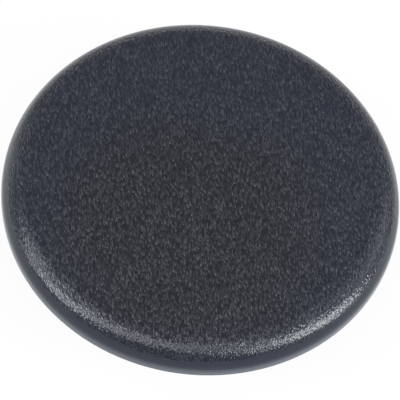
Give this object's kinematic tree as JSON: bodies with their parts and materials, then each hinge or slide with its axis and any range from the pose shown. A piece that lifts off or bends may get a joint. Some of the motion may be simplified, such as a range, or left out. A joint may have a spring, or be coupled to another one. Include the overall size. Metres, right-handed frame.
{
  "type": "hole plug",
  "caption": "Round dark plastic cap with a rounded edge, hollow behind, whose ring of barbed legs snaps into a panel hole to close it.",
  "frame": {"origin": "centre of the panel hole, in the plane of the panel's face that the cap's rim presses on", "axes": "+Z out of the panel towards the show face; +X through a gap between two legs"},
  "size_m": [0.03, 0.03, 0.0079],
  "materials": {
    "black_plastic": "fine moulded grain"
  },
  "bodies": {
    "root": {"hole_plug": "black_plastic"}
  },
  "joints": []
}
